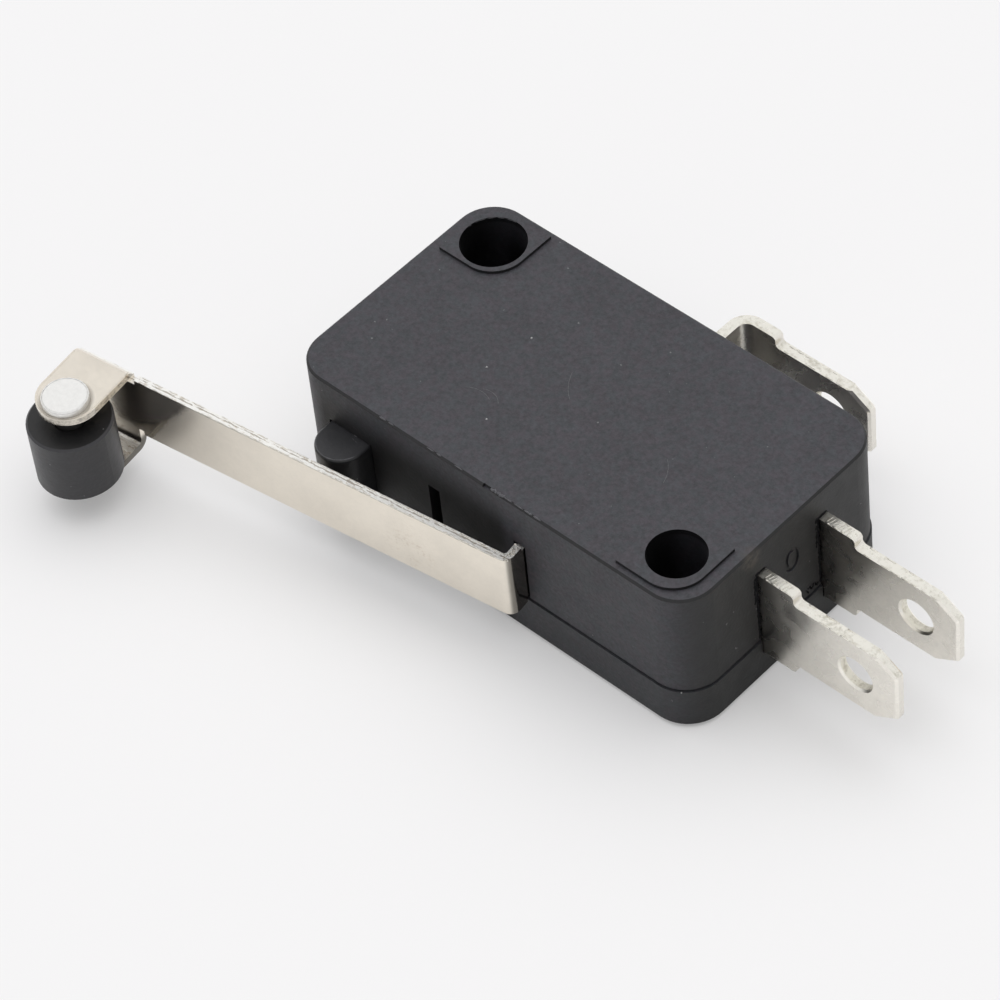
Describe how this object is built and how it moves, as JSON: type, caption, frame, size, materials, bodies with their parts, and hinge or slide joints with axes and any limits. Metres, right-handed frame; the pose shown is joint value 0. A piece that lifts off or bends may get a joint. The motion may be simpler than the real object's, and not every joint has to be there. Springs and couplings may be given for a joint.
{
  "type": "lever micro switch",
  "caption": "Basic snap-action switch: flat black plastic body with two mounting holes, long metal lever with a roller, and quick-connect tabs at the end and side.",
  "frame": {"origin": "centre of the body's outline on the cover's flat outer face", "axes": "+X along the body from the roller end to the two end terminals, -Y towards the lever and plunger, +Z through the body's thickness along the mounting holes"},
  "size_m": [0.0486, 0.0299, 0.0103],
  "materials": {
    "body_plastic": "matte, fine-grained, glass-filled black",
    "plunger_plastic": "matte black",
    "roller_plastic": "satin black",
    "lever_steel": "bright nickel-plated strip with raw cut edges",
    "rivet_steel": "pale satin, upset head",
    "terminal_tin": "matt tin plate with bright sheared edges",
    "contact_silver": "silver alloy",
    "spring_brass": "bright rolled strip",
    "spring_wire": "drawn wire"
  },
  "bodies": {
    "switch_body": {"case": "body_plastic", "cover": "body_plastic", "common_terminal": "terminal_tin", "normally_closed_terminal": "terminal_tin", "normally_open_terminal": "terminal_tin", "normally_closed_contact": "contact_silver", "normally_open_contact": "contact_silver", "snap_spring": "spring_wire"},
    "roller_lever": {"lever": "lever_steel", "roller_rivet": "rivet_steel"},
    "loose_roller": {"roller": "roller_plastic"},
    "push_plunger": {"plunger": "plunger_plastic"},
    "snap_rocker": {"rocker": "spring_brass"},
    "switching_arm": {"contact_arm": "spring_brass", "moving_contact": "contact_silver"}
  },
  "joints": [
    {"name": "lever_hinge", "type": "hinge", "parent": "switch_body", "child": "roller_lever", "pos_m": [0.0024, -0.0071, 0.00505], "axis": [0, 0, -1], "range_deg": [0, 7.6], "stiffness_Nm_per_rad": 0.045, "springref_deg": -8.02, "deforming": ["snap_spring"]},
    {"name": "roller_spin", "type": "hinge", "parent": "roller_lever", "child": "loose_roller", "pos_m": [-0.02312, -0.01604, 0.0046], "axis": [0, 0, 1], "continuous": true},
    {"name": "plunger_slide", "type": "slide", "parent": "switch_body", "child": "push_plunger", "axis": [0, 1, 0], "range_m": [0, 0.00116]},
    {"name": "rocker_pivot", "type": "hinge", "parent": "switch_body", "child": "snap_rocker", "pos_m": [0.00113, 0.0023, 0.00505], "axis": [0, 0, -1], "range_deg": [0, 5.37]},
    {"name": "arm_pivot", "type": "hinge", "parent": "switch_body", "child": "switching_arm", "pos_m": [0.00199, 0.00042, 0.00505], "axis": [0, 0, 1], "range_deg": [0, 3.97]}
  ],
  "couplings": [
    {"joint": "plunger_slide", "follows": "lever_hinge", "m_per_rad": 0.0086698},
    {"joint": "rocker_pivot", "follows": "lever_hinge", "ratio": 0.70478},
    {"joint": "arm_pivot", "follows": "lever_hinge", "ratio": 0.52136}
  ]
}
